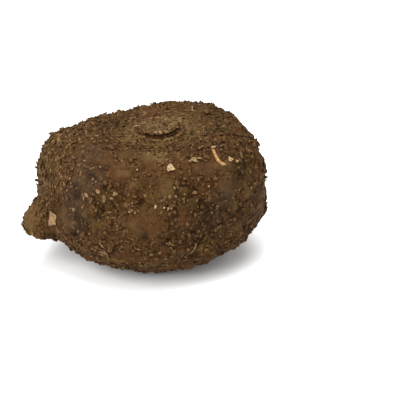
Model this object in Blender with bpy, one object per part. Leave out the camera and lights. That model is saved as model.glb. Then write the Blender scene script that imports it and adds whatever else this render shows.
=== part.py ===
"""Elephant foot yam: one whole corm, resting on its flattened base.

The corm grew as one piece and is one solid: a wide, flattened body that is turned about its growth
axis, a shallow basin in its top, the round scar of the fallen leaf stalk raised in that basin, and
one bud pulled out of its side. Metres, +Z up, +X to the right and +Y to the back.
"""

import math

import bmesh
import bpy
from mathutils import Vector, noise

# Body
WIDTH = 0.200  # side to side at the belly, without the bud
DEPTH = 0.186  # front to back at the belly
HEIGHT = 0.118  # base to the rim of the top
BELLY_HEIGHT = 0.062  # the widest ring, above the base
BASE_RADIUS = 0.036  # the flattened patch that it rests on
BOWL_FULLNESS = 2.3  # 2 is an ellipse, more is boxier
SHOULDER_FULLNESS = 2.45

# Top
RIM_RADIUS = 0.050  # crest of the rim round the basin
BASIN_DEPTH = 0.0045
SCAR_RADIUS = 0.0190
SCAR_SKIRT = 0.0027  # width of the steep edge round the scar
SCAR_GAP = 0.0080  # from the scar's edge out to where the basin is deepest
SCAR_FOOT_RISE = 0.0009  # the foot of the steep edge, above the floor of the basin
SCAR_RISE = 0.0036  # the scar's edge, above the floor of the basin
SCAR_CROWN = 0.0012  # how far the scar's middle swells over its edge

# Uneven growth
BASE_SHIFT = Vector((0.001, 0.000, 0.0))  # the base, off the middle of the belly
TOP_SHIFT = Vector((0.006, -0.004, 0.0))  # the growth axis at the scar, off the middle of the belly
TOP_SLOPE = 0.035  # rise of the top towards the back
HIGH_SHOULDER = 0.0050  # extra height of the rim at the back right
LOW_SHOULDER = 0.0090  # lost height of the rim at the back left
HIGH_SHOULDER_TURN = math.radians(66)
LOW_SHOULDER_TURN = math.radians(118)
LOBES = ((3, 0.010, 0.4), (4, 0.008, 1.9), (5, 0.006, 4.1))  # count, share of the radius, phase
LUMP_SIZE = 0.042
LUMP_HEIGHT = 0.0032
# Broad flats and swells of the side: turn in degrees, height, spread, and how far out (or in, if negative).
SIDE_SHAPES = (
    (238, 0.072, 0.030, -0.0040),
    (275, 0.080, 0.026, 0.0030),
    (312, 0.036, 0.032, -0.0075),
    (215, 0.105, 0.026, -0.0030),
    (17, 0.107, 0.038, -0.0110),
    (75, 0.085, 0.030, 0.0035),
    (120, 0.045, 0.032, -0.0040),
    (165, 0.098, 0.034, 0.0050),
)

# Side bud
BUD_TURN = math.radians(196)  # round the growth axis from +X
BUD_HEIGHT = 0.042
BUD_REACH = 0.0185  # how far it stands out of the wall
BUD_ROOT_WIDTH = 0.031  # half of the patch of wall that it grows out of, along the wall
BUD_ROOT_HEIGHT = 0.017  # and up the wall
BUD_BLUNTNESS = 2.2  # 1 is a cone, more is a knob
BUD_DROOP = 0.0065

# Mesh
TURNS = 88  # faces round the body
WELD = 1e-6  # points closer than this are one point
BOWL_STEPS = 13
SHOULDER_STEPS = 12
BASIN_STEPS = 5
SCAR_STEPS = 4


def clear_scene():
    for thing in list(bpy.data.objects):
        bpy.data.objects.remove(thing)


def smooth_step(value):
    """0 below 0, 1 above 1, and an even slope between them."""
    held = min(max(value, 0.0), 1.0)
    return held * held * (3.0 - 2.0 * held)


def bowl_outline():
    """From the edge of the base up to the belly, as (radius, height)."""
    belly = WIDTH / 2
    power = BOWL_FULLNESS
    fall = BELLY_HEIGHT / (1.0 - (BASE_RADIUS / belly) ** power) ** (1.0 / power)
    start = math.asin(min(1.0, (BASE_RADIUS / belly) ** (power / 2)))
    points = []
    for step in range(BOWL_STEPS):
        angle = start + (math.pi / 2 - start) * step / BOWL_STEPS
        radius = belly * math.sin(angle) ** (2.0 / power)
        points.append((radius, BELLY_HEIGHT - fall * math.cos(angle) ** (2.0 / power)))
    points[0] = (BASE_RADIUS, 0.0)
    return points


def shoulder_outline():
    """From the belly over the shoulder to the crest of the rim."""
    reach = WIDTH / 2 - RIM_RADIUS
    rise = HEIGHT - BELLY_HEIGHT
    points = []
    for step in range(SHOULDER_STEPS + 1):
        angle = math.pi / 2 * step / SHOULDER_STEPS
        radius = RIM_RADIUS + reach * math.cos(angle) ** (2.0 / SHOULDER_FULLNESS)
        points.append((radius, BELLY_HEIGHT + rise * math.sin(angle) ** (2.0 / SHOULDER_FULLNESS)))
    return points


def basin_outline():
    """From the rim down into the basin."""
    deepest = SCAR_RADIUS + SCAR_GAP
    points = []
    for step in range(BASIN_STEPS):
        share = (step + 1) / BASIN_STEPS
        radius = RIM_RADIUS + (deepest - RIM_RADIUS) * share
        points.append((radius, HEIGHT - BASIN_DEPTH * smooth_step(share)))
    return points


def scar_outline():
    """Up the edge of the scar and in to the growth axis."""
    floor = HEIGHT - BASIN_DEPTH
    edge = floor + SCAR_RISE
    points = [(SCAR_RADIUS + SCAR_SKIRT, floor + SCAR_FOOT_RISE)]
    for step in range(SCAR_STEPS + 1):
        share = step / SCAR_STEPS
        points.append((SCAR_RADIUS * (1.0 - share), edge + SCAR_CROWN * smooth_step(share)))
    return points


def turned_body():
    """The outline spun about the growth axis, with its base filled flat."""
    outline = bowl_outline() + shoulder_outline() + basin_outline() + scar_outline()
    mesh = bmesh.new()
    points = [mesh.verts.new((radius, 0.0, height)) for radius, height in outline]
    edges = [mesh.edges.new(pair) for pair in zip(points, points[1:])]
    bmesh.ops.spin(
        mesh,
        geom=points + edges,
        cent=(0.0, 0.0, 0.0),
        axis=(0.0, 0.0, 1.0),
        angle=math.tau,
        steps=TURNS,
        use_merge=True,
    )
    bmesh.ops.remove_doubles(mesh, verts=mesh.verts, dist=WELD)
    rim = [edge for edge in mesh.edges if edge.is_boundary]
    bmesh.ops.edgeloop_fill(mesh, edges=rim)
    bmesh.ops.recalc_face_normals(mesh, faces=mesh.faces)
    return mesh


def out_of_level(turn):
    """How far the rim stands above its own level, at this turn round the growth axis."""
    high = max(0.0, math.cos(turn - HIGH_SHOULDER_TURN))
    low = max(0.0, math.cos(turn - LOW_SHOULDER_TURN))
    return HIGH_SHOULDER * high**2 - LOW_SHOULDER * low**2


def side_swell(place):
    """How far the broad flats and swells move this point of the wall outwards."""
    swell = 0.0
    for degrees, height, spread, depth in SIDE_SHAPES:
        turn = math.radians(degrees)
        middle = Vector((WIDTH / 2 * math.cos(turn), DEPTH / 2 * math.sin(turn), height))
        swell += depth * math.exp(-(((place - middle).length / spread) ** 2))
    return swell


def grow_unevenly(mesh):
    """Ovals the body, tilts and shifts its top, and swells its sides into lobes and low lumps."""
    for vert in mesh.verts:
        place = vert.co
        turn = math.atan2(place.y, place.x)
        radius = math.hypot(place.x, place.y)
        outward = Vector((place.x, place.y, 0.0)).normalized()
        up = smooth_step(place.z / BELLY_HEIGHT)
        above = smooth_step((place.z - BELLY_HEIGHT) / (HEIGHT - BELLY_HEIGHT))
        out = smooth_step((radius - BASE_RADIUS) / (WIDTH / 2 - BASE_RADIUS))
        swell = 1.0
        for count, share, phase in LOBES:
            swell += share * up * out * math.cos(count * turn + phase)
        lump = LUMP_HEIGHT * up * out * noise.noise(place / LUMP_SIZE)
        place.x *= swell
        place.y *= swell * DEPTH / WIDTH
        place += outward * (lump + up * side_swell(place))
        place.z += above * (TOP_SLOPE * place.y + out_of_level(turn) * smooth_step(radius / RIM_RADIUS))
        place += BASE_SHIFT * (1.0 - up) + TOP_SHIFT * above


def pull_out_bud(mesh):
    """Cuts the wall finer where the bud is, and draws it out into a blunt knob."""
    outward = Vector((math.cos(BUD_TURN), math.sin(BUD_TURN), 0.0))
    across = Vector((-outward.y, outward.x, 0.0))

    def off_axis(place):
        return math.hypot(place.dot(across) / BUD_ROOT_WIDTH, (place.z - BUD_HEIGHT) / BUD_ROOT_HEIGHT)

    def near(place):
        return place.dot(outward) > 0.0 and off_axis(place) < 1.0

    edges = [edge for edge in mesh.edges if all(near(vert.co) for vert in edge.verts)]
    bmesh.ops.subdivide_edges(mesh, edges=edges, cuts=1, use_grid_fill=True)
    for vert in mesh.verts:
        if near(vert.co):
            pull = 1.0 - smooth_step(off_axis(vert.co) ** BUD_BLUNTNESS)
            vert.co += outward * BUD_REACH * pull
            vert.co.z -= BUD_DROOP * pull


def stand_over_origin(mesh):
    """Moves the corm so that the origin is on the floor, under the middle of its box."""
    low = Vector(min(vert.co[axis] for vert in mesh.verts) for axis in range(3))
    high = Vector(max(vert.co[axis] for vert in mesh.verts) for axis in range(3))
    middle = (low + high) / 2
    bmesh.ops.translate(mesh, verts=mesh.verts, vec=(-middle.x, -middle.y, -low.z))


def skin_material():
    material = bpy.data.materials.new("corm_skin")
    material.use_nodes = True
    shader = material.node_tree.nodes["Principled BSDF"]
    shader.inputs["Base Color"].default_value = (0.105, 0.058, 0.026, 1.0)
    shader.inputs["Roughness"].default_value = 0.85
    shader.inputs["Metallic"].default_value = 0.0
    return material


def corm():
    mesh = turned_body()
    grow_unevenly(mesh)
    pull_out_bud(mesh)
    stand_over_origin(mesh)
    data = bpy.data.meshes.new("corm")
    mesh.to_mesh(data)
    mesh.free()
    data.shade_smooth()
    data.materials.append(skin_material())
    body = bpy.data.objects.new("corm", data)
    bpy.context.scene.collection.objects.link(body)


clear_scene()
corm()
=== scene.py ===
import math
import random

import bmesh
import bpy
from mathutils import Matrix, Vector, noise
from mathutils.bvhtree import BVHTree


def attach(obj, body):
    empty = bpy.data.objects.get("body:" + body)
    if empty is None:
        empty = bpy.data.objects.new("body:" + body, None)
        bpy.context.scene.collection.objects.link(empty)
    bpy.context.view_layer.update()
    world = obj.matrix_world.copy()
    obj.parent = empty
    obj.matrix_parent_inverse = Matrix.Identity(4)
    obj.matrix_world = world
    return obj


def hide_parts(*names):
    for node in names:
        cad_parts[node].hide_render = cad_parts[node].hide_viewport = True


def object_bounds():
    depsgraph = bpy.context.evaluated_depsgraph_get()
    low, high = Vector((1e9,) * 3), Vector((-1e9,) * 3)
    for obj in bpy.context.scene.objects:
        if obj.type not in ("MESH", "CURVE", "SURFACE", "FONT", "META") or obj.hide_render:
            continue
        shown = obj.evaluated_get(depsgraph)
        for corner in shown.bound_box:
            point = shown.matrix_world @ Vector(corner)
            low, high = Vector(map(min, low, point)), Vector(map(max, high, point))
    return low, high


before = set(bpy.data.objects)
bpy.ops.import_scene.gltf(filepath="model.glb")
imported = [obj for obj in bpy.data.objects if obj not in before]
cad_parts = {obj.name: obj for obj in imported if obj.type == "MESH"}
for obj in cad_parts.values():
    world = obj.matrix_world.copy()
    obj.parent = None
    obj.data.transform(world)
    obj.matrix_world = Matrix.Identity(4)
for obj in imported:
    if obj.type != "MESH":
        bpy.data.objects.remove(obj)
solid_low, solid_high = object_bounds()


# The studio. The corm lies on a white sheet of paper, between white walls. A large soft box stands high
# on the left in front of it, a larger one hangs straight above, and a weak one fills in low on the left.
# The camera looks down on the leaf scar.
def soft_box(name, place, width, power, target):
    lamp = bpy.data.lights.new(name, "AREA")
    lamp.shape = "DISK"
    lamp.size = width
    lamp.energy = power
    box = bpy.data.objects.new(name, lamp)
    box.location = place
    box.rotation_euler = (target - place).to_track_quat("-Z", "Y").to_euler()
    bpy.context.scene.collection.objects.link(box)


aim = Vector((0.0476, 0.0, 0.0479))
camera_distance = 1.15
camera_slope = math.radians(24)  # how steeply it looks down
picture_width = 0.346  # what the camera takes in, at the distance of its aim
lens = bpy.data.cameras.new("studio_camera")
lens.sensor_width = 36.0
lens.lens = lens.sensor_width * camera_distance / picture_width
camera = bpy.data.objects.new("studio_camera", lens)
backward = Vector((0.0, -math.cos(camera_slope), math.sin(camera_slope)))
camera.location = aim + camera_distance * backward
camera.rotation_euler = (math.pi / 2 - camera_slope, 0.0, 0.0)
bpy.context.scene.collection.objects.link(camera)
bpy.context.scene.camera = camera

middle = (solid_low + solid_high) / 2
soft_box("key_light", Vector((-0.80, -1.10, 1.12)), 1.2, 29.0, middle)
soft_box("top_light", Vector((0.05, 0.05, 1.50)), 1.6, 27.0, middle)
soft_box("low_light", Vector((-0.90, -1.60, 0.55)), 0.9, 5.0, middle)

wall_brightness = 0.88
walls = bpy.data.worlds.new("white_walls")
walls.use_nodes = True
walls.node_tree.nodes["Background"].inputs["Color"].default_value = (1.0, 1.0, 1.0, 1.0)
walls.node_tree.nodes["Background"].inputs["Strength"].default_value = wall_brightness
bpy.context.scene.world = walls
bpy.context.scene.view_settings.view_transform = "Standard"

sheet_reach = 4.0  # from the middle of the sheet to its edges
sheet_mesh = bmesh.new()
bmesh.ops.create_grid(sheet_mesh, x_segments=1, y_segments=1, size=sheet_reach)
sheet_data = bpy.data.meshes.new("white_sheet")
sheet_mesh.to_mesh(sheet_data)
sheet_mesh.free()
sheet_paper = bpy.data.materials.new("white_paper")
sheet_paper.use_nodes = True
sheet_paper.node_tree.nodes["Principled BSDF"].inputs["Base Color"].default_value = (0.9, 0.9, 0.9, 1.0)
sheet_paper.node_tree.nodes["Principled BSDF"].inputs["Roughness"].default_value = 0.9
sheet_data.materials.append(sheet_paper)
white_sheet = bpy.data.objects.new("white_sheet", sheet_data)
bpy.context.scene.collection.objects.link(white_sheet)


# The skin. A corky brown hide, a millimetre or two thick, that covers the whole corm: pebbled where roots
# grew, smooth and greyish where it has rubbed bare, with growth rings round the leaf scar. It is made as a
# fine net that is drawn over the solid corm, and then raised and sunk into its relief.
growth_axis = Vector((0.0117, -0.0038, 0.0))  # the middle of the leaf scar
flesh_middle = Vector((-0.004, -0.006, 0.056))  # every point of the skin can be seen from here
scar_radius = 0.019
high_above = Vector((0.0, 0.0, 0.3))  # well clear of the top
straight_down = Vector((0.0, 0.0, -1.0))

solid_copy = bmesh.new()
solid_copy.from_mesh(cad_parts["corm"].data)
bmesh.ops.remove_doubles(solid_copy, verts=solid_copy.verts, dist=1e-6)
solid_wall = BVHTree.FromBMesh(solid_copy)
solid_copy.free()


def smooth_step(value):
    """0 below 0, 1 above 1, and an even slope between them."""
    held = min(max(value, 0.0), 1.0)
    return held * held * (3.0 - 2.0 * held)


def on_side(turn, height):
    """The point of the solid's side at this turn round the growth axis and this height."""
    outward = Vector((math.cos(math.radians(turn)), math.sin(math.radians(turn)), 0.0))
    start = Vector((growth_axis.x, growth_axis.y, height))
    return solid_wall.ray_cast(start, outward)[0]


def on_top(turn, reach):
    """The point of the solid's top at this turn round the growth axis and this distance from it."""
    outward = Vector((math.cos(math.radians(turn)), math.sin(math.radians(turn)), 0.0))
    start = growth_axis + outward * reach + high_above
    return solid_wall.ray_cast(start, straight_down)[0]


def near_spots(place, spots):
    """1 in the middle of a spot and 0 well away from them all. A spot is its middle and its spread."""
    strongest = 0.0
    for spot, spread in spots:
        away = (place - spot).length_squared / spread**2
        if away < 6.0:
            strongest = max(strongest, math.exp(-away))
    return strongest


# The places that show most, as a point of the skin and a spread in metres.
bare_spots = [
    (on_side(231, 0.094), 0.017),
    (on_side(226, 0.074), 0.018),
    (on_side(222, 0.060), 0.012),
    (on_side(237, 0.108), 0.014),
    (on_side(250, 0.106), 0.011),
    (on_top(240, 0.060), 0.015),
    (on_top(206, 0.066), 0.010),
    (on_top(217, 0.062), 0.013),
    (on_side(212, 0.110), 0.010),
    (on_side(222, 0.112), 0.013),
    (on_top(264, 0.062), 0.010),
    (on_side(278, 0.096), 0.010),
    (on_side(303, 0.108), 0.010),
    (on_side(311, 0.088), 0.009),
    (on_side(262, 0.066), 0.009),
    (on_top(100, 0.044), 0.010),
    (on_side(20, 0.060), 0.016),
    (on_side(42, 0.096), 0.014),
    (on_side(70, 0.075), 0.018),
    (on_side(98, 0.098), 0.015),
    (on_side(115, 0.050), 0.017),
    (on_side(148, 0.085), 0.018),
    (on_side(166, 0.055), 0.014),
    (on_side(336, 0.062), 0.015),
]
scaly_spots = [
    (on_side(183, 0.085), 0.034),
    (on_side(203, 0.102), 0.022),
    (on_side(345, 0.090), 0.030),
    (on_side(60, 0.100), 0.026),
    (on_side(120, 0.090), 0.030),
]
knobs = [  # a point of the skin, a spread and a height
    (on_top(104, 0.061), 0.0036, 0.0030),
    (on_top(96, 0.061), 0.0036, 0.0018),
    (on_top(124, 0.063), 0.0042, 0.0022),
    (on_top(39, 0.061), 0.0034, 0.0026),
    (on_side(186, 0.108), 0.0044, 0.0042),
    (on_side(181, 0.098), 0.0032, 0.0022),
    (on_side(254, 0.106), 0.0040, 0.0022),
    (on_side(249, 0.106), 0.0034, 0.0020),
    (on_side(260, 0.100), 0.0040, 0.0020),
    (on_side(272, 0.106), 0.0036, 0.0018),
    (on_side(286, 0.094), 0.0034, 0.0020),
    (on_side(203, 0.034), 0.0050, 0.0024),
    (on_side(192, 0.052), 0.0046, 0.0020),
]
low_knobs = 90  # scattered over the sides
chance = random.Random(3)
for _ in range(low_knobs):
    knob = on_side(chance.uniform(0.0, 360.0), chance.uniform(0.014, 0.108))
    knobs.append((knob, chance.uniform(0.0026, 0.0050), chance.uniform(0.0008, 0.0022)))

# The net starts as a cube of two units, cut fine, so that it has no poles.
net_cuts = 127
net_smoothings = 10
net = bmesh.new()
bmesh.ops.create_cube(net, size=2.0)
bmesh.ops.subdivide_edges(net, edges=net.edges, cuts=net_cuts, use_grid_fill=True)
net.normal_update()

# The six sides of the net lie side by side on the skin's own map, three across and two up.
map_margin = 0.006
skin_map = net.loops.layers.uv.new("OFBake")
for face in net.faces:
    across = max(range(3), key=lambda axis: abs(face.normal[axis]))
    column = across
    row = 1 if face.normal[across] > 0 else 0
    side = [axis for axis in range(3) if axis != across]
    for loop in face.loops:
        u, v = [(loop.vert.co[axis] + 1.0) / 2.0 for axis in side]
        u = (column + map_margin + u * (1.0 - 2.0 * map_margin)) / 3.0
        v = (row + map_margin + v * (1.0 - 2.0 * map_margin)) / 2.0
        loop[skin_map].uv = (u, v)

for vert in net.verts:
    line = Vector(math.tan(part * math.pi / 4) for part in vert.co).normalized()
    vert.co = solid_wall.ray_cast(flesh_middle, line)[0]
for _ in range(net_smoothings):
    bmesh.ops.smooth_vert(
        net, verts=net.verts, factor=0.5, use_axis_x=True, use_axis_y=True, use_axis_z=True
    )
net.normal_update()

bare_layer = net.verts.layers.float.new("bare")
relief_layer = net.verts.layers.float.new("relief")
ring_layer = net.verts.layers.float.new("leaf_base")

# The relief, in metres.
sunk = 0.0012  # the skin's mean level lies this far inside the solid
lumps = [(0.019, 0.0020), (0.0085, 0.0016)]  # size and height
pebble_size = 0.0052
pebble_height = 0.0015
grain_size = 0.0025
grain_height = 0.00090
crack_spacing = 0.0125
crack_width = 0.09  # as a share of the noise that the cracks follow
crack_depth = 0.0014
ring_spacing = 0.0052
ring_wander = 0.0035
ring_height = 0.00110
collar_reach = scar_radius + 0.0045  # a swollen ring just outside the scar
collar_width = 0.0030
collar_height = 0.0016
groove_reach = scar_radius + 0.0004  # the gap round the scar's edge
groove_width = 0.0010
groove_depth = 0.0012


def pebbles(place, size, stretch):
    """Rounded grains with grooves between them: 0 in a groove and 1 on a grain."""
    squashed = Vector((place.x, place.y, place.z / stretch))
    distances = noise.voronoi(squashed / size)[0]
    return min((distances[1] - distances[0]) * 2.2, 1.0)


def cracks(place):
    """1 along the cracks of the cork and 0 between them."""
    wave = noise.noise(place / crack_spacing + Vector((0.0, 0.0, 5.0)))
    return max(0.0, 1.0 - abs(wave) / crack_width)


def growth_rings(place, reach, turn):
    """Broken rings round the leaf scar, 1 on a crest and -1 in a groove."""
    wander = noise.noise(Vector((2.2 * math.cos(turn), 2.2 * math.sin(turn), 3.0)))
    wave = math.sin(math.tau * (reach + ring_wander * wander) / ring_spacing)
    return wave * (0.55 + 0.9 * noise.noise(place / 0.013))


def skin_relief(place):
    """How far the skin stands above the solid, how bare it is, and how much it is leaf-base fibre."""
    flat = Vector((place.x - growth_axis.x, place.y - growth_axis.y))
    reach = flat.length
    turn = math.atan2(flat.y, flat.x)
    upper = smooth_step((place.z - 0.085) / 0.020)
    under = 1.0 - smooth_step((place.z - 0.012) / 0.026)
    bare = near_spots(place, bare_spots)
    bare = smooth_step(bare * 1.5 + 0.9 * noise.noise(place / 0.011) - 0.25)
    rough = (1.0 - 0.88 * bare) * (1.0 - 0.55 * under)
    rough *= 0.75 + 0.55 * noise.noise(place / 0.019 + Vector((7.0, 0.0, 0.0)))
    scaly = near_spots(place, scaly_spots)
    leaf_base = upper * smooth_step((reach - 0.0195) / 0.003)
    leaf_base *= 1.0 - smooth_step((reach - 0.031) / 0.008)
    rings = upper * smooth_step((reach - 0.020) / 0.004) * (1.0 - smooth_step((reach - 0.045) / 0.035))

    height = -sunk
    for lump_size, lump_height in lumps:
        height += lump_height * noise.noise(place / lump_size)
    height += pebble_height * rough * (pebbles(place, pebble_size, 1.0 + 1.6 * scaly) - 0.5)
    height += grain_height * rough * noise.noise(place / grain_size)
    height -= crack_depth * rough * cracks(place)
    height += ring_height * rings * growth_rings(place, reach, turn) * (1.0 + 0.6 * leaf_base)
    height += collar_height * upper * math.exp(-(((reach - collar_reach) / collar_width) ** 2))
    height -= groove_depth * upper * math.exp(-(((reach - groove_reach) / groove_width) ** 2))
    for knob, spread, knob_height in knobs:
        away = (place - knob).length_squared / spread**2
        if away < 4.0:
            height += knob_height * math.exp(-(away**1.5))
    return height, bare, leaf_base, rough


heights = [0.0] * len(net.verts)
roughness = [0.0] * len(net.verts)
for vert in net.verts:
    height, bare, leaf_base, rough = skin_relief(vert.co)
    heights[vert.index] = height
    roughness[vert.index] = rough
    vert[bare_layer] = bare
    vert[ring_layer] = leaf_base

lowest = -0.0042  # the heights that the relief layer holds as 0 and 1
highest = 0.0016
for vert in net.verts:
    vert[relief_layer] = (heights[vert.index] - lowest) / (highest - lowest)
moves = [vert.normal * heights[vert.index] for vert in net.verts]
for vert, move in zip(net.verts, moves):
    vert.co += move
    vert.co.z = max(vert.co.z, 0.0)
net.normal_update()
skin_wall = BVHTree.FromBMesh(net)
skin_seeds = [(vert.co.copy(), vert.normal.copy(), roughness[vert.index]) for vert in net.verts]


def add_node(tree, kind, sockets=None, **settings):
    """One shader node, with its settings, and with each named socket set or joined to another."""
    made = tree.nodes.new(kind)
    for name, value in settings.items():
        setattr(made, name, value)
    for name, value in (sockets or {}).items():
        if isinstance(value, bpy.types.NodeSocket):
            tree.links.new(value, made.inputs[name])
        else:
            made.inputs[name].default_value = value
    return made


def place_on_object(tree):
    return add_node(tree, "ShaderNodeTexCoord").outputs["Object"]


def clouds(tree, size, detail=4.0, roughness=0.55, offset=(0.0, 0.0, 0.0), stretch=(1.0, 1.0, 1.0)):
    """Soft noise whose patches are about this size, in metres."""
    moved = add_node(
        tree,
        "ShaderNodeMapping",
        {"Vector": place_on_object(tree), "Location": offset, "Scale": stretch},
    )
    return add_node(
        tree,
        "ShaderNodeTexNoise",
        {
            "Vector": moved.outputs["Vector"],
            "Scale": 1.0 / size,
            "Detail": detail,
            "Roughness": roughness,
        },
    ).outputs["Fac"]


def between(tree, value, low, high, smooth=True):
    """value brought from low..high to 0..1."""
    return add_node(
        tree,
        "ShaderNodeMapRange",
        {"Value": value, "From Min": low, "From Max": high},
        interpolation_type="SMOOTHSTEP" if smooth else "LINEAR",
    ).outputs["Result"]


def painted(tree, share, under, over):
    """under, with over painted on it where share is 1. Both are a colour or a socket."""
    mix = add_node(tree, "ShaderNodeMix", data_type="RGBA")
    for name, kind, value in (("Factor", "VALUE", share), ("A", "RGBA", under), ("B", "RGBA", over)):
        # The Mix node holds one socket of each name for each kind of value.
        socket = [found for found in mix.inputs if found.name == name and found.type == kind][0]
        if isinstance(value, bpy.types.NodeSocket):
            tree.links.new(value, socket)
        elif kind == "VALUE":
            socket.default_value = value
        else:
            socket.default_value = (*value, 1.0)
    return [found for found in mix.outputs if found.type == "RGBA"][0]


def sums(tree, operation, *values):
    """The result of one sum, such as ADD or MULTIPLY, on numbers or sockets."""
    made = add_node(tree, "ShaderNodeMath", operation=operation)
    for socket, value in zip(made.inputs, values):
        if isinstance(value, bpy.types.NodeSocket):
            tree.links.new(value, socket)
        else:
            socket.default_value = value
    return made.outputs[0]


def stored(tree, name):
    """The value that the mesh holds under this name at each of its points."""
    return add_node(tree, "ShaderNodeAttribute", attribute_name=name).outputs["Fac"]


def new_material(name):
    made = bpy.data.materials.new(name)
    made.use_nodes = True
    return made, made.node_tree, made.node_tree.nodes["Principled BSDF"]


def bumped(tree, shader, height, depth):
    """Gives the shader a bump of this depth, in metres, from a height of 0 to 1."""
    bump = add_node(tree, "ShaderNodeBump", {"Height": height, "Strength": 1.0, "Distance": depth})
    tree.links.new(bump.outputs["Normal"], shader.inputs["Normal"])


def near_point(tree, point, spread):
    """1 within about half the spread of this point, and 0 beyond it, with a ragged edge."""
    ends = {0: place_on_object(tree), 1: point}
    away = add_node(tree, "ShaderNodeVectorMath", ends, operation="DISTANCE")
    ragged = sums(tree, "MULTIPLY", clouds(tree, 0.0085, detail=4.0), spread * 1.4)
    return between(tree, sums(tree, "ADD", away.outputs["Value"], ragged), spread * 1.85, spread * 1.15)


# The broad patches of another colour, and one of painted shade: middle, spread, colour and strength.
patches_and_painted_shade = [
    (on_side(188, 0.085), 0.042, (0.0560, 0.0335, 0.0095), 0.45),
    (on_top(20, 0.045), 0.036, (0.0580, 0.0345, 0.0105), 0.45),
    (on_side(232, 0.099), 0.018, (0.0420, 0.0230, 0.0125), 0.75),
    (on_side(219, 0.112), 0.017, (0.0440, 0.0265, 0.0125), 0.65),
    (on_side(225, 0.084), 0.017, (0.0290, 0.0160, 0.0105), 0.75),
    (on_side(226, 0.061), 0.018, (0.0180, 0.0115, 0.0054), 0.80),
    (on_side(311, 0.088), 0.012, (0.0330, 0.0170, 0.0090), 0.75),
    # A dark patch on the right front: painted shade.
    (on_side(304, 0.068), 0.020, (0.0230, 0.0105, 0.0040), 0.75),
    (on_side(301, 0.040), 0.010, (0.1000, 0.0560, 0.0110), 0.75),
    (on_top(159, 0.046), 0.012, (0.0330, 0.0200, 0.0060), 0.75),
    (on_top(100, 0.045), 0.014, (0.0720, 0.0270, 0.0080), 0.75),
    (on_top(270, 0.0575), 0.011, (0.1250, 0.0790, 0.0230), 0.80),
    (on_side(278, 0.096), 0.011, (0.0760, 0.0450, 0.0120), 0.75),
    (on_side(196, 0.044), 0.022, (0.0930, 0.0520, 0.0150), 0.75),
    (on_side(146, 0.080), 0.024, (0.0330, 0.0180, 0.0090), 0.70),
    (on_side(72, 0.070), 0.024, (0.0360, 0.0185, 0.0080), 0.70),
    (on_side(105, 0.040), 0.020, (0.0720, 0.0400, 0.0110), 0.70),
]


def bark_colour(tree):
    """The brown of the hide, mottled with olive and rust, with one patch of painted shade. It runs on from
    piece to piece.
    """
    broad = between(tree, clouds(tree, 0.028), 0.35, 0.65)
    colour = painted(tree, broad, (0.0439, 0.0179, 0.0042), (0.0602, 0.0271, 0.0070))
    olive = between(tree, clouds(tree, 0.019, offset=(3.0, 0.0, 0.0)), 0.54, 0.70)
    colour = painted(tree, olive, colour, (0.0530, 0.0297, 0.0064))
    rust = between(tree, clouds(tree, 0.015, offset=(0.0, 5.0, 0.0)), 0.55, 0.70)
    colour = painted(tree, rust, colour, (0.0571, 0.0187, 0.0040))
    for point, spread, shade, strength in patches_and_painted_shade:
        share = sums(tree, "MULTIPLY", near_point(tree, point, spread), strength)
        colour = painted(tree, share, colour, shade)
    return colour


bark_sheen = 0.08  # dry cork hardly shines


def skin_material():
    made, tree, shader = new_material("corm_skin")
    relief = stored(tree, "relief")
    bare = stored(tree, "bare")
    leaf_base = stored(tree, "leaf_base")

    rubbed = sums(tree, "MULTIPLY", bare, 0.25)
    colour = painted(tree, rubbed, bark_colour(tree), (0.0398, 0.0192, 0.0076))
    fine = clouds(tree, 0.0032, detail=6.0, roughness=0.72)
    colour = painted(tree, between(tree, fine, 0.50, 0.76), colour, (0.1019, 0.0546, 0.0187))
    colour = painted(tree, between(tree, fine, 0.49, 0.28), colour, (0.0143, 0.0053, 0.0010))
    # Raised places of the relief are painted lighter, as a painted highlight.
    crest = between(tree, relief, 0.58, 0.92)
    colour = painted(tree, sums(tree, "MULTIPLY", crest, 0.45), colour, (0.0917, 0.0490, 0.0170))
    # Low places of the relief are painted dark, as painted shade in the hollows and cracks.
    hollow_shade = between(tree, relief, 0.46, 0.20)
    colour = painted(tree, sums(tree, "MULTIPLY", hollow_shade, 0.85), colour, (0.0122, 0.0048, 0.0010))
    frayed = between(tree, clouds(tree, 0.004, detail=5.0), 0.36, 0.58)
    fibre = sums(tree, "MULTIPLY", leaf_base, frayed)
    colour = painted(tree, sums(tree, "MULTIPLY", fibre, 0.8), colour, (0.1150, 0.0650, 0.0210))
    specks = between(tree, clouds(tree, 0.0013, detail=2.0, offset=(0.0, 0.0, 9.0)), 0.70, 0.76)
    colour = painted(tree, specks, colour, (0.1835, 0.1092, 0.0510))
    tree.links.new(colour, shader.inputs["Base Color"])

    dull = between(tree, fine, 0.2, 0.8, smooth=False)
    tree.links.new(sums(tree, "MULTIPLY_ADD", dull, 0.30, 0.55), shader.inputs["Roughness"])
    shader.inputs["Specular IOR Level"].default_value = bark_sheen

    grit = clouds(tree, 0.0011, detail=3.0, roughness=0.6)
    coarse = sums(tree, "ADD", sums(tree, "MULTIPLY", fine, 0.7), sums(tree, "MULTIPLY", grit, 0.3))
    bumped(tree, shader, coarse, 0.0022)
    return made


def show(name, mesh, material):
    """Makes the finished mesh an object in the scene, in place, riding with the corm."""
    data = bpy.data.meshes.new(name)
    mesh.to_mesh(data)
    mesh.free()
    data.shade_smooth()
    data.materials.append(material)
    piece = bpy.data.objects.new(name, data)
    bpy.context.scene.collection.objects.link(piece)
    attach(piece, "root")
    return piece


corm_skin = show("corm_skin", net, skin_material())
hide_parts("corm")


# The leaf scar. When the leaf stalk falls off it leaves a round, corky scab with a ragged edge. It stands
# raised in the basin of the top, tilted a little forwards, with a gap under its front edge. Its underside
# is painted dark, as painted shade.
def above(place, reach=0.0, turn=0.0):
    """The point of the skin straight above or below place, moved out by reach at this turn."""
    start = place + Vector((reach * math.cos(turn), reach * math.sin(turn), 0.0)) + high_above
    return skin_wall.ray_cast(start, straight_down)[0]


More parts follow.
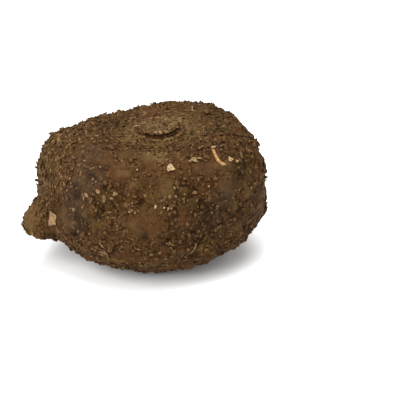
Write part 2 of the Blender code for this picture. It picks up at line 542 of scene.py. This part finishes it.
plate_radius = scar_radius * 0.95
plate_half_thickness = 0.0011
plate_dish = 0.0009  # how far its edge stands over its middle
plate_lumps = [(0.006, 0.0010), (0.0028, 0.0013), (0.0012, 0.0009)]  # size and height
# Where the edge has broken away: turn and spread in degrees, and a share of the radius.
scar_bites = [
    (149, 24, 0.12),
    (214, 26, 0.17),
    (322, 24, 0.07),
]
scar_mesh = bmesh.new()
bmesh.ops.create_uvsphere(scar_mesh, u_segments=180, v_segments=80, radius=1.0)
level_layer = scar_mesh.verts.layers.float.new("level")
for vert in scar_mesh.verts:
    place = vert.co
    vert[level_layer] = place.z
    turn = math.atan2(place.y, place.x)
    rim = Vector((math.cos(turn), math.sin(turn), 0.0))
    ragged = 1.0 + 0.05 * noise.noise(rim * 1.7)
    ragged += 0.07 * noise.noise(rim * 6.0) + 0.06 * noise.noise(rim * 17.0)
    for bite_turn, bite_spread, bite in scar_bites:
        away = (math.degrees(turn) % 360.0 - bite_turn) / bite_spread
        ragged -= bite * math.exp(-(away**2))
    wide = math.hypot(place.x, place.y)
    out = math.sin(wide * math.pi / 2) ** 0.7
    spread = rim * plate_radius * ragged * out
    rise = plate_half_thickness * math.copysign(abs(place.z) ** 0.8, place.z)
    if place.z > 0.0:
        rise += plate_dish * smooth_step((out - 0.60) / 0.30)
        for number, (lump_size, lump_height) in enumerate(plate_lumps):
            rise += lump_height * noise.noise(Vector((spread.x, spread.y, 4.0 * number)) / lump_size)
    vert.co = spread + Vector((0.0, 0.0, rise))
scar_middle = above(growth_axis)
scar_tilt = Vector((-0.01, -0.045, 1.0)).normalized().to_track_quat("Z", "Y").to_matrix().to_4x4()
seat = Matrix.Translation(scar_middle + Vector((0.0, 0.0004, -0.0004))) @ scar_tilt
bmesh.ops.transform(scar_mesh, matrix=seat, verts=scar_mesh.verts)
bmesh.ops.recalc_face_normals(scar_mesh, faces=scar_mesh.faces)


def scar_material():
    made, tree, shader = new_material("leaf_scar")
    broad = clouds(tree, 0.007, detail=5.0, roughness=0.65)
    fine = clouds(tree, 0.0021, detail=5.0, roughness=0.7, offset=(1.0, 2.0, 0.0))
    mottled = between(tree, broad, 0.40, 0.60)
    colour = painted(tree, mottled, (0.0560, 0.0275, 0.0090), (0.1180, 0.0665, 0.0250))
    colour = painted(tree, between(tree, fine, 0.50, 0.64), colour, (0.2150, 0.1370, 0.0640))
    colour = painted(tree, between(tree, fine, 0.48, 0.37), colour, (0.0130, 0.0050, 0.0012))
    # The underside of the scab is painted dark, as painted shade.
    underside_shade = between(tree, stored(tree, "level"), 0.22, -0.05)
    colour = painted(tree, underside_shade, colour, (0.0110, 0.0042, 0.0010))
    tree.links.new(colour, shader.inputs["Base Color"])
    shader.inputs["Roughness"].default_value = 0.8
    shader.inputs["Specular IOR Level"].default_value = bark_sheen
    bumped(tree, shader, fine, 0.0024)
    return made


show("leaf_scar", scar_mesh, scar_material())


# The warts. They are the healed ends of roots: hard, knobbly domes of cork that the hide has grown,
# crowded together wherever the hide has not rubbed bare. Each has painted shade round its foot and
# a painted highlight on top.
def seeded(count, chance, wanted):
    """This many points of the skin with the way out of it there, kept as likely as wanted says."""
    found = []
    while len(found) < count:
        place, outward, rough = skin_seeds[chance.randrange(len(skin_seeds))]
        if chance.random() < wanted(place, rough):
            found.append((place, outward))
    return found


def standing(place, outward, spin):
    """Turns +Z to outward and +Y up the skin, then spins about outward and moves the origin to place."""
    turned = outward.to_track_quat("Z", "Y").to_matrix().to_4x4()
    return Matrix.Translation(place) @ turned @ Matrix.Rotation(spin, 4, "Z")


def gathered(seats, make, batch_size=8):
    """Runs make for every seat, and gathers what it makes into one mesh, batch by batch for speed."""
    whole = bmesh.new()
    store = bpy.data.meshes.new("batch")
    for first in range(0, len(seats), batch_size):
        batch = bmesh.new()
        for seat in seats[first : first + batch_size]:
            make(batch, seat)
        batch.to_mesh(store)
        batch.free()
        whole.from_mesh(store)
    bpy.data.meshes.remove(store)
    return whole


def from_scar(place):
    """Distance from the growth axis for a point of the top, and a long way for a point of the side."""
    if place.z < 0.095:
        return 1.0
    return math.hypot(place.x - growth_axis.x, place.y - growth_axis.y)


def ball(subdivisions):
    """What makes one grain, as a ball of this fineness squashed by its seat."""

    def make(mesh, seat):
        bmesh.ops.create_icosphere(mesh, subdivisions=subdivisions, radius=1.0, matrix=seat)

    return make


# The knocks of noise_vector hang on the clock unless it is given a seed.
noise.seed_set(71)


def roughened(mesh, seats, lump_size, lump_depth):
    """Knocks every ball out of true, and stores how far up it each point is, 0 at its foot and 1 on top."""
    tip_layer = mesh.verts.layers.float.new("tip")
    points_each = len(mesh.verts) // len(seats)
    to_ball = [seat.inverted() for seat in seats]
    for number, vert in enumerate(mesh.verts):
        vert[tip_layer] = (to_ball[number // points_each] @ vert.co).z
        vert.co += noise.noise_vector(vert.co / lump_size) * lump_depth
        vert.co.z = max(vert.co.z, 0.0001)


# The peeled root and the largest scraps lie straight on the skin, with nothing under them.
covered_spots = [
    (on_side(280, 0.1095), 0.0050),
    (on_side(299, 0.1125), 0.0045),
    (on_side(295, 0.1120), 0.0035),
    (on_top(315.4, 0.0652), 0.0035),
    (on_top(313, 0.0710), 0.0025),
    (on_side(312, 0.1090), 0.0025),
    (on_side(314, 0.1070), 0.0030),
    (on_side(319, 0.1075), 0.0040),
    (on_side(323, 0.1055), 0.0030),
    (on_side(210, 0.0560), 0.0055),
    (on_side(239, 0.0914), 0.0030),
    (on_side(233, 0.0860), 0.0030),
    (on_side(249, 0.0905), 0.0030),
    (on_side(225, 0.0705), 0.0020),
]


def wart_wanted(place, rough):
    if place.z < 0.003 or from_scar(place) < 0.034 or near_spots(place, covered_spots) > 0.3:
        return 0.0
    crowd = smooth_step(0.45 + 1.6 * noise.noise(place / 0.0125))
    return rough * crowd * (1.0 - 0.75 * smooth_step((0.062 - from_scar(place)) / 0.010))


def wart_material():
    made, tree, shader = new_material("wart_cork")
    tip = stored(tree, "tip")
    fine = clouds(tree, 0.0021, detail=5.0, roughness=0.7)
    tone = clouds(tree, 0.0052, detail=2.0, offset=(2.0, 0.0, 0.0))
    mottled = between(tree, tone, 0.40, 0.66)
    pale = painted(tree, mottled, (0.0612, 0.0288, 0.0088), (0.1274, 0.0721, 0.0289))
    # The upper part of each wart is painted paler, as a painted highlight.
    top = sums(tree, "MULTIPLY", between(tree, tip, 0.35, 0.95), between(tree, fine, 0.30, 0.62))
    colour = painted(tree, top, bark_colour(tree), pale)
    # The foot of each wart is painted dark, as painted shade.
    colour = painted(tree, between(tree, tip, 0.42, 0.05), colour, (0.0112, 0.0044, 0.0010))
    tree.links.new(colour, shader.inputs["Base Color"])
    shader.inputs["Roughness"].default_value = 0.62
    shader.inputs["Specular IOR Level"].default_value = bark_sheen
    bumped(tree, shader, fine, 0.0012)
    return made


wart_count = 2400
chance = random.Random(5)
wart_seats = []
for place, outward in seeded(wart_count, chance, wart_wanted):
    radius = 0.0008 + 0.0014 * chance.random() ** 1.6  # most are near the small end
    width = radius * chance.uniform(0.8, 1.3)
    length = radius * chance.uniform(0.8, 1.3)
    height = radius * chance.uniform(0.55, 0.95)
    seat = standing(place + outward * height * 0.15, outward, chance.uniform(0.0, math.tau))
    wart_seats.append(seat @ Matrix.Diagonal((width, length, height, 1.0)))
warts = gathered(wart_seats, ball(2))
roughened(warts, wart_seats, 0.0013, 0.00045)
show("warts", warts, wart_material())


# Bark scales. The outer cork cracks and peels in thin scraps a few millimetres long, held at one end. On
# the left side and the shoulders they stand close and run up and down, and on the crown round the scar.
crown_reach = 0.066  # how far the crown goes from the growth axis


def scale_wanted(place, rough):
    if place.z < 0.006 or from_scar(place) < 0.033 or near_spots(place, covered_spots) > 0.3:
        return 0.0
    on_crown = 0.5 if from_scar(place) < crown_reach else 0.0
    return (0.10 + 0.90 * near_spots(place, scaly_spots) + on_crown) * rough


scale_count = 2200
chance = random.Random(17)
scale_seats = []
for place, outward in seeded(scale_count, chance, scale_wanted):
    upright = near_spots(place, scaly_spots)
    length = chance.uniform(0.0012, 0.0032) * (1.0 + 0.5 * upright)
    size = (length * chance.uniform(0.3, 0.55), length, chance.uniform(0.0003, 0.0006))
    spin = chance.gauss(0.0, 0.35) if chance.random() < upright else chance.uniform(0.0, math.tau)
    if from_scar(place) < crown_reach:
        size = tuple(part * 0.75 for part in size)
        spin = math.pi / 2 + chance.gauss(0.0, 0.3)
    lift = Matrix.Rotation(chance.uniform(0.05, 0.45), 4, "X")
    seat = standing(place + outward * length * 0.12, outward, spin)
    scale_seats.append(seat @ lift @ Matrix.Diagonal((*size, 1.0)))

# Four long shards stick out past the left side.
shards = [  # root, length, and the way it points
    (on_side(168, 0.1040), 0.0046, (-0.98, -0.10, 0.00)),
    (on_side(177, 0.0975), 0.0020, (-0.90, -0.10, 0.30)),
    (on_side(182, 0.0810), 0.0020, (-0.93, -0.10, 0.30)),
    (on_side(184, 0.0710), 0.0018, (-0.95, -0.10, 0.20)),
]
for root, length, heading in shards:
    pointed = Vector(heading).normalized()
    turned = pointed.to_track_quat("Y", "Z").to_matrix().to_4x4()
    seat = Matrix.Translation(root + pointed * length * 0.55) @ turned
    scale_seats.append(seat @ Matrix.Diagonal((length * 0.50, length, 0.0012, 1.0)))
scales = gathered(scale_seats, ball(2))
roughened(scales, scale_seats, 0.0011, 0.0006)


def scale_material():
    made, tree, shader = new_material("bark_scale")
    tone = clouds(tree, 0.0046, detail=3.0, offset=(0.0, 7.0, 0.0))
    pale = between(tree, tone, 0.49, 0.62)
    colour = painted(tree, pale, bark_colour(tree), (0.1300, 0.0750, 0.0280))
    colour = painted(tree, between(tree, tone, 0.46, 0.30), colour, (0.0173, 0.0075, 0.0020))
    tree.links.new(colour, shader.inputs["Base Color"])
    shader.inputs["Roughness"].default_value = 0.7
    shader.inputs["Specular IOR Level"].default_value = bark_sheen
    bumped(tree, shader, clouds(tree, 0.0012, detail=3.0), 0.0008)
    return made


show("bark_scales", scales, scale_material())


# The leaf-base fringe. Old leaf sheaths rot away and leave stiff, light brown fibres round the scar. Short
# ones stand in the skin in rings and lean outwards, and long ones lie round the scar in arcs.
def fibre_material(name, dark, light):
    made, tree, shader = new_material(name)
    tone = between(tree, clouds(tree, 0.0035, detail=3.0), 0.35, 0.65)
    tree.links.new(painted(tree, tone, dark, light), shader.inputs["Base Color"])
    shader.inputs["Roughness"].default_value = 0.75
    shader.inputs["Specular IOR Level"].default_value = bark_sheen
    bumped(tree, shader, clouds(tree, 0.0009, detail=2.0), 0.0003)
    return made


def fibre_curve(name, radius, resolution):
    """An empty bundle of fibres, each of which add_fibre adds, with closed ends."""
    curve = bpy.data.curves.new(name, "CURVE")
    curve.dimensions = "3D"
    curve.bevel_depth = radius
    curve.bevel_resolution = resolution
    curve.use_fill_caps = True
    return curve


def add_fibre(curve, places, shares):
    """One fibre through these places, with its radius at each as a share of the bundle's."""
    spline = curve.splines.new("POLY")
    spline.points.add(len(places) - 1)
    for point, place, share in zip(spline.points, places, shares):
        point.co = (*place, 1.0)
        point.radius = share


def show_curve(name, curve, material):
    """Makes the fibres a closed mesh in the scene, riding with the corm."""
    drawn = bpy.data.objects.new(name, curve)
    bpy.context.scene.collection.objects.link(drawn)
    bpy.context.view_layer.update()
    data = bpy.data.meshes.new_from_object(drawn.evaluated_get(bpy.context.evaluated_depsgraph_get()))
    bpy.data.objects.remove(drawn)
    mesh = bmesh.new()
    mesh.from_mesh(data)
    bpy.data.meshes.remove(data)
    bmesh.ops.remove_doubles(mesh, verts=mesh.verts, dist=1e-6)
    bmesh.ops.recalc_face_normals(mesh, faces=mesh.faces)
    return show(name, mesh, material)


short_fibres = 1150
long_fibres = 330
fibre_step = 0.0011  # between the points of a fibre that lies on the skin
short_rings = (0.0215, 0.0245, 0.0262, 0.0300, 0.0345)  # radius of each, from the growth axis
long_rings = (0.0208, 0.0222, 0.0240, 0.0262, 0.0286, 0.0315, 0.0350, 0.0390, 0.0430)
fringe = fibre_curve("leaf_fringe", 0.00030, 0)
chance = random.Random(11)
for _ in range(short_fibres):
    turn = chance.uniform(0.0, math.tau)
    reach = chance.choice(short_rings) + chance.gauss(0.0, 0.0010)
    outward = Vector((math.cos(turn), math.sin(turn), 0.0))
    top = above(growth_axis, reach, turn)
    along = Vector((-outward.y, outward.x, 0.0)) * chance.gauss(0.0, 1.2)
    lean = (outward * chance.uniform(0.1, 0.9) + along).normalized()
    length = chance.uniform(0.0018, 0.0046)
    stand = chance.uniform(0.10, 0.50)
    places = []
    for step in range(4):
        share = step / 3.0
        lift = length * (stand * share - 0.25 * share**2) - 0.0004 * (1.0 - share)
        places.append(top + lean * length * share + Vector((0.0, 0.0, lift)))
    add_fibre(fringe, places, [1.3, 1.1, 0.9, 0.4])
for _ in range(long_fibres):
    turn = chance.uniform(0.0, math.tau)
    reach = chance.choice(long_rings) + chance.gauss(0.0, 0.0006)
    drift = chance.gauss(0.0, 0.00010)
    raised = chance.uniform(0.0002, 0.0009)
    places = []
    for step in range(chance.randrange(6, 18)):
        top = above(growth_axis, reach, turn)
        places.append(top + Vector((0.0, 0.0, raised)))
        turn += fibre_step / reach
        reach += drift + chance.gauss(0.0, 0.00008)
    last = len(places) - 1
    shares = [0.55 + 0.7 * math.sin(math.pi * number / last) for number in range(last + 1)]
    add_fibre(fringe, places, shares)
leaf_fibre = fibre_material("leaf_fibre", (0.0380, 0.0185, 0.0056), (0.1600, 0.0940, 0.0360))
show_curve("leaf_fringe", fringe, leaf_fibre)


# Root stubs. They are the stiff, dark, blunt ends of roots that were broken or cut off at harvest. They
# stick out of the skin all over the sides, and give the corm its jagged outline.
def stub_wanted(place, rough):
    if place.z < 0.006 or from_scar(place) < 0.040 or near_spots(place, covered_spots) > 0.3:
        return 0.0
    return rough**2 * (0.4 + 0.6 * smooth_step((place.z - 0.020) / 0.030))


stub_count = 800
chance = random.Random(23)
stub_seats = []
for place, outward in seeded(stub_count, chance, stub_wanted):
    length = chance.uniform(0.0010, 0.0021)
    width = chance.uniform(0.00055, 0.00120)
    lean = Vector((chance.gauss(0, 1), chance.gauss(0, 1), chance.gauss(0, 1) - 0.3)) * 0.45
    pointed = (outward + lean).normalized()
    seat = standing(place + outward * length * 0.3, pointed, chance.uniform(0.0, math.tau))
    stub_seats.append(seat @ Matrix.Diagonal((width, width * chance.uniform(0.6, 1.0), length, 1.0)))


def make_stub(mesh, seat):
    bmesh.ops.create_cone(
        mesh, cap_ends=True, segments=7, radius1=1.0, radius2=0.42, depth=2.0, matrix=seat
    )


stubs = gathered(stub_seats, make_stub)
roughened(stubs, stub_seats, 0.0011, 0.0004)
bmesh.ops.recalc_face_normals(stubs, faces=stubs.faces)
stub_bark = fibre_material("root_stub", (0.0173, 0.0075, 0.0020), (0.0662, 0.0328, 0.0109))
show("root_stubs", stubs, stub_bark)


# Dry soil and cork grains. Crumbs of the field's brown earth and of the hide itself, up to 3 mm across,
# cling between the warts, and fewer of them on the crown. A few are pale grains of grit.
def crumb_wanted(place, rough):
    if place.z < 0.0015 or near_spots(place, covered_spots) > 0.3:
        return 0.0
    crowd = smooth_step(0.45 + 1.8 * noise.noise(place / 0.0105 + Vector((0.0, 9.0, 0.0))))
    return 0.02 + rough * crowd * (0.5 if from_scar(place) < 0.070 else 1.0)


crumb_count = 8000
chance = random.Random(31)
crumb_seats = []
for place, outward in seeded(crumb_count, chance, crumb_wanted):
    radius = 0.00034 + 0.00090 * chance.random() ** 2.6  # most are near the small end
    width = radius * chance.uniform(0.8, 1.4)
    length = radius * chance.uniform(0.8, 1.4)
    height = radius * chance.uniform(0.6, 1.0)
    seat = standing(place + outward * radius * 0.3, outward, chance.uniform(0.0, math.tau))
    crumb_seats.append(seat @ Matrix.Diagonal((width, length, height, 1.0)))
crumbs = gathered(crumb_seats, ball(1))
roughened(crumbs, crumb_seats, 0.0006, 0.0002)


def soil_material():
    made, tree, shader = new_material("dry_soil")
    tone = clouds(tree, 0.0024, detail=1.0)
    colour = painted(tree, between(tree, tone, 0.48, 0.62), bark_colour(tree), (0.1019, 0.0546, 0.0190))
    colour = painted(tree, between(tree, tone, 0.45, 0.34), colour, (0.0153, 0.0061, 0.0017))
    colour = painted(tree, between(tree, tone, 0.67, 0.71), colour, (0.2344, 0.1441, 0.0680))
    tree.links.new(colour, shader.inputs["Base Color"])
    shader.inputs["Roughness"].default_value = 0.7
    shader.inputs["Specular IOR Level"].default_value = bark_sheen
    bumped(tree, shader, clouds(tree, 0.0005, detail=2.0), 0.0003)
    return made


show("soil_crumbs", crumbs, soil_material())


# Rootlets. Thin, dry feeding roots that still hold to the hide and lie on it in loose curves, brown all
# over the sides. A bundle of straw-coloured ones is stuck on low at the left in front, and a few elsewhere.
def laid_fibre(start, heading, length, chance, wander):
    """Points a millimetre apart along a fibre that starts here and lies on the skin."""
    place = start
    direction = heading.normalized()
    places = []
    for _ in range(max(4, round(length / fibre_step))):
        nearest, outward = skin_wall.find_nearest(place)[:2]
        lift = 0.0006 + 0.0006 * abs(noise.noise(nearest / 0.006))
        places.append(nearest + outward * lift)
        turned = Vector((chance.gauss(0, wander), chance.gauss(0, wander), chance.gauss(0, wander)))
        direction = (direction + turned - outward * direction.dot(outward)).normalized()
        place = nearest + direction * fibre_step
    return places


def tapered(places, thick, lost):
    """The radius at each of these places, as a share: thick at the first, and less by lost at the last."""
    return [thick - lost * number / len(places) for number in range(len(places))]


rootlet_count = 190
chance = random.Random(47)
rootlets = fibre_curve("rootlets", 0.00024, 0)
for place, outward in seeded(rootlet_count, chance, stub_wanted):
    heading = Vector((chance.gauss(0, 1), chance.gauss(0, 1), chance.gauss(0, 1)))
    places = laid_fibre(place, heading, chance.uniform(0.004, 0.012), chance, 0.22)
    add_fibre(rootlets, places, tapered(places, 1.0, 0.6))
brown_root = fibre_material("rootlet", (0.0459, 0.0218, 0.0068), (0.1376, 0.0764, 0.0306))
show_curve("rootlets", rootlets, brown_root)

straw = fibre_curve("straw_rootlets", 0.00046, 1)
straw_runs = [  # where it starts, what it heads for, and its length
    (on_side(240, 0.047), on_side(245, 0.038), 0.011),
    (on_side(241, 0.045), on_side(246, 0.036), 0.011),
    (on_side(240, 0.038), on_side(245, 0.027), 0.013),
    (on_side(242, 0.039), on_side(246, 0.030), 0.011),
    (on_side(239, 0.034), on_side(243, 0.026), 0.009),
    (on_side(295, 0.0425), on_side(288, 0.029), 0.018),
    (on_side(277, 0.050), on_side(282, 0.045), 0.008),
    (on_side(236, 0.084), on_side(234, 0.077), 0.007),
    (on_top(54, 0.050), on_top(35, 0.034), 0.019),
]
for start, end, length in straw_runs:
    places = laid_fibre(start, end - start, length, chance, 0.10)
    add_fibre(straw, places, tapered(places, 1.15, 0.7))

# Where a root dropped off clean, it left a pale ring with a small gap.
ring_radius = 0.0011
ring_points = 15
ring_middle, ring_outward = skin_wall.find_nearest(on_side(225, 0.0705))[:2]
ring_turned = standing(ring_middle + ring_outward * 0.0004, ring_outward, 0.0)
ring_places = []
for point in range(ring_points):
    turn = math.tau * point / ring_points * 0.96
    round_ring = Vector((ring_radius * math.cos(turn), ring_radius * math.sin(turn), 0.0))
    ring_places.append(ring_turned @ round_ring)
add_fibre(straw, ring_places, [0.8] * ring_points)
straw_root = fibre_material("straw_rootlet", (0.1138, 0.0637, 0.0258), (0.2730, 0.1775, 0.0920))
show_curve("straw_rootlets", straw, straw_root)


# The peeled root. One thick root lies bent on the upper right shoulder with its brown bark gone, so that
# its orange-tan core shows. It is flattened at its upper end and hooked at its lower one.
peeled_radius = 0.00125
peeled = fibre_curve("peeled_root", peeled_radius, 4)
peeled_path = [  # a point of the solid, and the root's radius there as a share
    (on_top(315, 0.0650), 0.95),
    (on_top(314.9, 0.0661), 1.10),
    (on_top(313.3, 0.0696), 0.95),
    (on_top(312.1, 0.0730), 0.95),
    (on_top(311.4, 0.0762), 1.05),
    (on_side(311.5, 0.1079), 1.20),
    (on_side(312.2, 0.1067), 1.35),
    (on_side(313.4, 0.1064), 0.95),
    (on_side(314.6, 0.1066), 0.50),
]
peeled_places = []
for target, _ in peeled_path:
    nearest, outward = skin_wall.find_nearest(target)[:2]
    peeled_places.append(nearest + outward * 0.0008)
add_fibre(peeled, peeled_places, [share for _, share in peeled_path])
root_core = fibre_material("peeled_root", (0.1850, 0.0900, 0.0290), (0.3400, 0.2080, 0.0880))
show_curve("peeled_root", peeled, root_core)


# Pale flakes. Small scraps of dry inner skin and torn root bark, tan to cream, stuck flat on the skin by
# the soil. Each one is thin and straight-sided where it tore, and curls up a little.
def torn_edge(corners, turn):
    """How far out a scrap reaches at this turn. A corner is its turn and its reach from the middle."""
    turn = corners[0][0] + (turn - corners[0][0]) % math.tau
    closed = corners + [(corners[0][0] + math.tau, corners[0][1])]
    for (start, near), (end, far) in zip(closed, closed[1:]):
        if turn <= end:
            across = near * math.sin(turn - start) + far * math.sin(end - turn)
            return near * far * math.sin(end - start) / across
    return corners[0][1]


def torn_corners(chance):
    """Four to six corners, unevenly spaced."""
    count = chance.choice((4, 5, 5, 6))
    corners = []
    for number in range(count):
        turn = math.tau * (number + chance.uniform(-0.25, 0.25)) / count
        corners.append((turn, chance.uniform(0.6, 1.35)))
    return corners


flake_half_thickness = 0.00035
drape_height = 0.006  # the skin under a flake is looked for from this far over its seat
drape_gap = 0.0006  # and the flake stays this far above it


def add_flake(mesh, chance, place, width, length, tone, raised, corners=None, finer=1):
    """A thin, torn, slightly curled scrap lying on the skin, from dark (0) to cream (1)."""
    nearest, outward = skin_wall.find_nearest(place)[:2]
    seat = standing(nearest + outward * raised, outward, 0.0)
    if corners is None:
        corners = torn_corners(chance)
    curl = chance.uniform(0.0, 0.0006)
    shift = nearest * 900.0
    made = bmesh.ops.create_icosphere(mesh, subdivisions=2 + finer, radius=1.0)
    for vert in made["verts"]:
        flat = Vector((vert.co.x, vert.co.y, 0.0))
        out = min(flat.length, 1.0) ** 0.6 * torn_edge(corners, math.atan2(flat.y, flat.x))
        flat = flat.normalized() * out if flat.length > 1e-6 else flat
        flat += 0.16 * noise.noise_vector(flat * 2.5 + shift)
        local = Vector((flat.x * width / 2, flat.y * length / 2, 0.0))
        bend = 0.0006 * noise.noise(flat * 1.6 + shift) + curl * flat.y**2
        start = seat @ (local + Vector((0.0, 0.0, drape_height)))
        under = skin_wall.ray_cast(start, -outward, drape_height * 2.0)[3]
        if under is not None:
            bend = max(bend, drape_height + drape_gap - under)
        local.z = bend + flake_half_thickness * math.copysign(abs(vert.co.z) ** 0.5, vert.co.z)
        vert.co = seat @ local
        vert[tone_layer] = tone


flakes = bmesh.new()
tone_layer = flakes.verts.layers.float.new("tone")
scrap_corners = [(1.30, 1.20), (2.75, 0.75), (3.80, 1.25), (5.75, 1.00)]
bud_corners = [
    (0.60, 1.30),
    (1.10, 0.90),
    (1.90, 1.15),
    (2.70, 0.60),
    (3.90, 1.50),
    (4.60, 0.75),
    (5.40, 0.85),
]
named_flakes = [  # place, width, length, tone, and how far it is raised off the skin
    (on_side(278, 0.0912), 0.0024, 0.0030, 0.30, 0.0012),
    (on_top(315.4, 0.0648), 0.0064, 0.0034, 0.66, 0.0032),
    (on_side(319, 0.1074), 0.0058, 0.0060, 0.80, 0.0020),
    (on_side(317.5, 0.1070), 0.0034, 0.0034, 0.66, 0.0016),
    (on_side(323, 0.1054), 0.0044, 0.0034, 0.58, 0.0018),
    (on_side(300.5, 0.1126), 0.0056, 0.0070, 0.56, 0.0014),
    (on_side(297, 0.1124), 0.0050, 0.0062, 0.12, 0.0012),
    (on_side(293.5, 0.1118), 0.0034, 0.0026, 0.24, 0.0013),
    (on_side(235, 0.1000), 0.0034, 0.0030, 0.36, 0.0015),
    (on_side(237, 0.0985), 0.0026, 0.0024, 0.30, 0.0014),
    (on_side(239, 0.0914), 0.0050, 0.0046, 0.38, 0.0016),
    (on_side(233, 0.0868), 0.0050, 0.0040, 0.36, 0.0015),
    (on_side(231.5, 0.0835), 0.0028, 0.0050, 0.28, 0.0014),
    (on_side(249, 0.0912), 0.0046, 0.0044, 0.36, 0.0016),
    (on_side(247, 0.0878), 0.0036, 0.0028, 0.36, 0.0014),
    (on_side(257, 0.0780), 0.0026, 0.0024, 0.38, 0.0014),
    (on_side(258.5, 0.0798), 0.0024, 0.0022, 0.44, 0.0014),
    (on_side(260, 0.0778), 0.0022, 0.0022, 0.40, 0.0014),
    (on_side(261.5, 0.0795), 0.0020, 0.0018, 0.34, 0.0013),
    (on_side(271, 0.0834), 0.0022, 0.0042, 0.70, 0.0015),
    (on_side(275, 0.0829), 0.0030, 0.0020, 0.66, 0.0015),
    (on_side(277, 0.0816), 0.0024, 0.0020, 0.62, 0.0015),
    (on_side(279, 0.0812), 0.0018, 0.0022, 0.60, 0.0015),
    (on_side(281, 0.0908), 0.0026, 0.0018, 0.75, 0.0015),
    (on_side(281, 0.0975), 0.0022, 0.0044, 0.30, 0.0012),
    (on_side(259, 0.1081), 0.0022, 0.0020, 0.75, 0.0015),
    (on_side(236, 0.1082), 0.0032, 0.0016, 0.62, 0.0015),
    (on_side(223, 0.1085), 0.0026, 0.0016, 0.45, 0.0013),
    (on_side(218, 0.1010), 0.0020, 0.0028, 0.42, 0.0013),
    (on_side(206, 0.0960), 0.0018, 0.0034, 0.48, 0.0015),
    (on_side(199, 0.0900), 0.0018, 0.0034, 0.46, 0.0015),
    (on_side(209, 0.0830), 0.0018, 0.0026, 0.40, 0.0014),
    (on_top(204, 0.0540), 0.0038, 0.0014, 0.62, 0.0015),
    (on_top(207, 0.0590), 0.0028, 0.0016, 0.50, 0.0015),
    (on_side(253, 0.0473), 0.0028, 0.0028, 0.30, 0.0013),
    (on_side(261, 0.0451), 0.0032, 0.0032, 0.32, 0.0013),
    (on_side(268, 0.0384), 0.0028, 0.0026, 0.32, 0.0013),
    (on_side(275, 0.0328), 0.0028, 0.0020, 0.38, 0.0013),
]
chance = random.Random(59)
scrap = on_side(280, 0.1095)
add_flake(flakes, chance, scrap, 0.0080, 0.0088, 0.76, 0.0016, scrap_corners, finer=2)
bud_scrap = on_side(211.5, 0.0560)
add_flake(flakes, chance, bud_scrap, 0.0092, 0.0150, 0.52, 0.0018, bud_corners, finer=2)
for place, width, length, tone, raised in named_flakes:
    add_flake(flakes, chance, place, width, length, tone, raised)

# Three small chips lie on the front edge of the scar, and a long, pointed one on its left end.
chip_corners = [(0.35, 0.9), (2.2, 0.8), (3.2, 1.5), (4.9, 0.7)]
scar_chips = [  # turn, distance from the growth axis, width, length, tone and corners
    (181, 0.0176, 0.0064, 0.0026, 0.95, chip_corners),
    (269, 0.0150, 0.0026, 0.0018, 0.90, None),
    (284, 0.0155, 0.0024, 0.0020, 0.85, None),
    (262, 0.0135, 0.0018, 0.0014, 0.60, None),
]
for turn, reach, width, length, tone, corners in scar_chips:
    add_flake(flakes, chance, on_top(turn, reach), width, length, tone, 0.0024, corners)

# Specks crowd together in front of the scar, and more are strewn all over.
crowded_specks = 26
strewn_specks = 260
for _ in range(crowded_specks):
    speck = on_top(chance.gauss(270.5, 5.5), chance.gauss(0.0575, 0.0028))
    width = chance.uniform(0.0007, 0.0017)
    length = width * chance.uniform(0.8, 1.6)
    add_flake(flakes, chance, speck, width, length, chance.uniform(0.15, 0.50), 0.0013, finer=0)
for place, outward in seeded(strewn_specks, chance, stub_wanted):
    width = chance.uniform(0.0008, 0.0020)
    length = width * chance.uniform(0.8, 2.0)
    add_flake(flakes, chance, place, width, length, chance.uniform(0.05, 0.6), 0.0008, finer=0)
bmesh.ops.recalc_face_normals(flakes, faces=flakes.faces)


def flake_material():
    made, tree, shader = new_material("pale_flake")
    tone = stored(tree, "tone")
    dark_to_tan = between(tree, tone, 0.0, 0.5, smooth=False)
    colour = painted(tree, dark_to_tan, (0.0546, 0.0300, 0.0098), (0.2050, 0.1240, 0.0530))
    tan_to_cream = between(tree, tone, 0.5, 1.0, smooth=False)
    colour = painted(tree, tan_to_cream, colour, (0.4095, 0.2958, 0.1702))
    orange = near_point(tree, on_side(320, 0.1066), 0.010)
    colour = painted(tree, sums(tree, "MULTIPLY", orange, 0.8), colour, (0.3900, 0.2500, 0.1050))
    olive = near_point(tree, on_side(299, 0.1125), 0.009)
    colour = painted(tree, sums(tree, "MULTIPLY", olive, 0.8), colour, (0.2400, 0.1680, 0.0680))
    stain = between(tree, clouds(tree, 0.0015, detail=4.0), 0.45, 0.60)
    colour = painted(tree, sums(tree, "MULTIPLY", stain, 0.80), colour, (0.0950, 0.0500, 0.0185))
    tree.links.new(colour, shader.inputs["Base Color"])
    shader.inputs["Roughness"].default_value = 0.6
    shader.inputs["Specular IOR Level"].default_value = 0.15
    bumped(tree, shader, clouds(tree, 0.0009, detail=2.0), 0.0003)
    return made


show("pale_flakes", flakes, flake_material())
